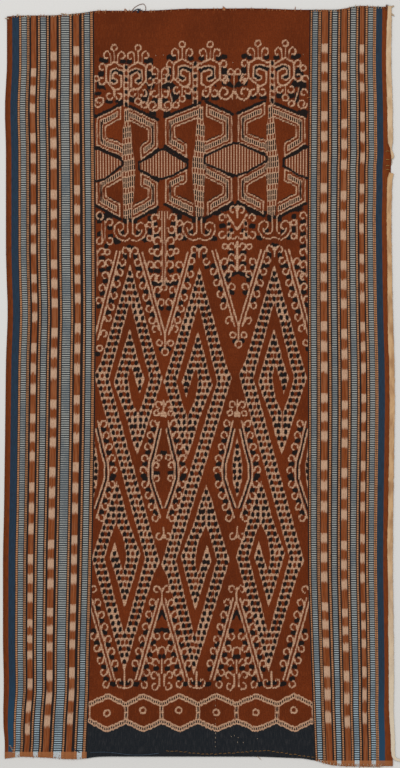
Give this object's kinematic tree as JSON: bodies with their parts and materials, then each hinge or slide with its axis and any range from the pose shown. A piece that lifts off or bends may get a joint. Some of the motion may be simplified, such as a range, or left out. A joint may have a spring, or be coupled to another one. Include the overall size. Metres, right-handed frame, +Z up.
{
  "type": "ikat woven cloth",
  "caption": "Flat rectangular warp-ikat cotton skirt cloth with striped side borders, a figured middle, turned hems and a torn cream edging tape down one selvedge.",
  "frame": {"origin": "middle of the box in plan, on the surface that the cloth lies on", "axes": "+Y along the warp towards the cloth's head end, +X along the weft towards the taped selvedge, +Z up out of the cloth's face"},
  "size_m": [0.5724, 1.081, 0.0036],
  "materials": {
    "ikat_cotton": "matte handwoven cotton in red-brown, navy and cream, resist-dyed in the warp",
    "cream_cotton": "matte cream cotton tape, worn and torn"
  },
  "bodies": {
    "root": {"cloth": "ikat_cotton", "tape_upper": "cream_cotton", "tape_lower": "cream_cotton"}
  },
  "joints": []
}
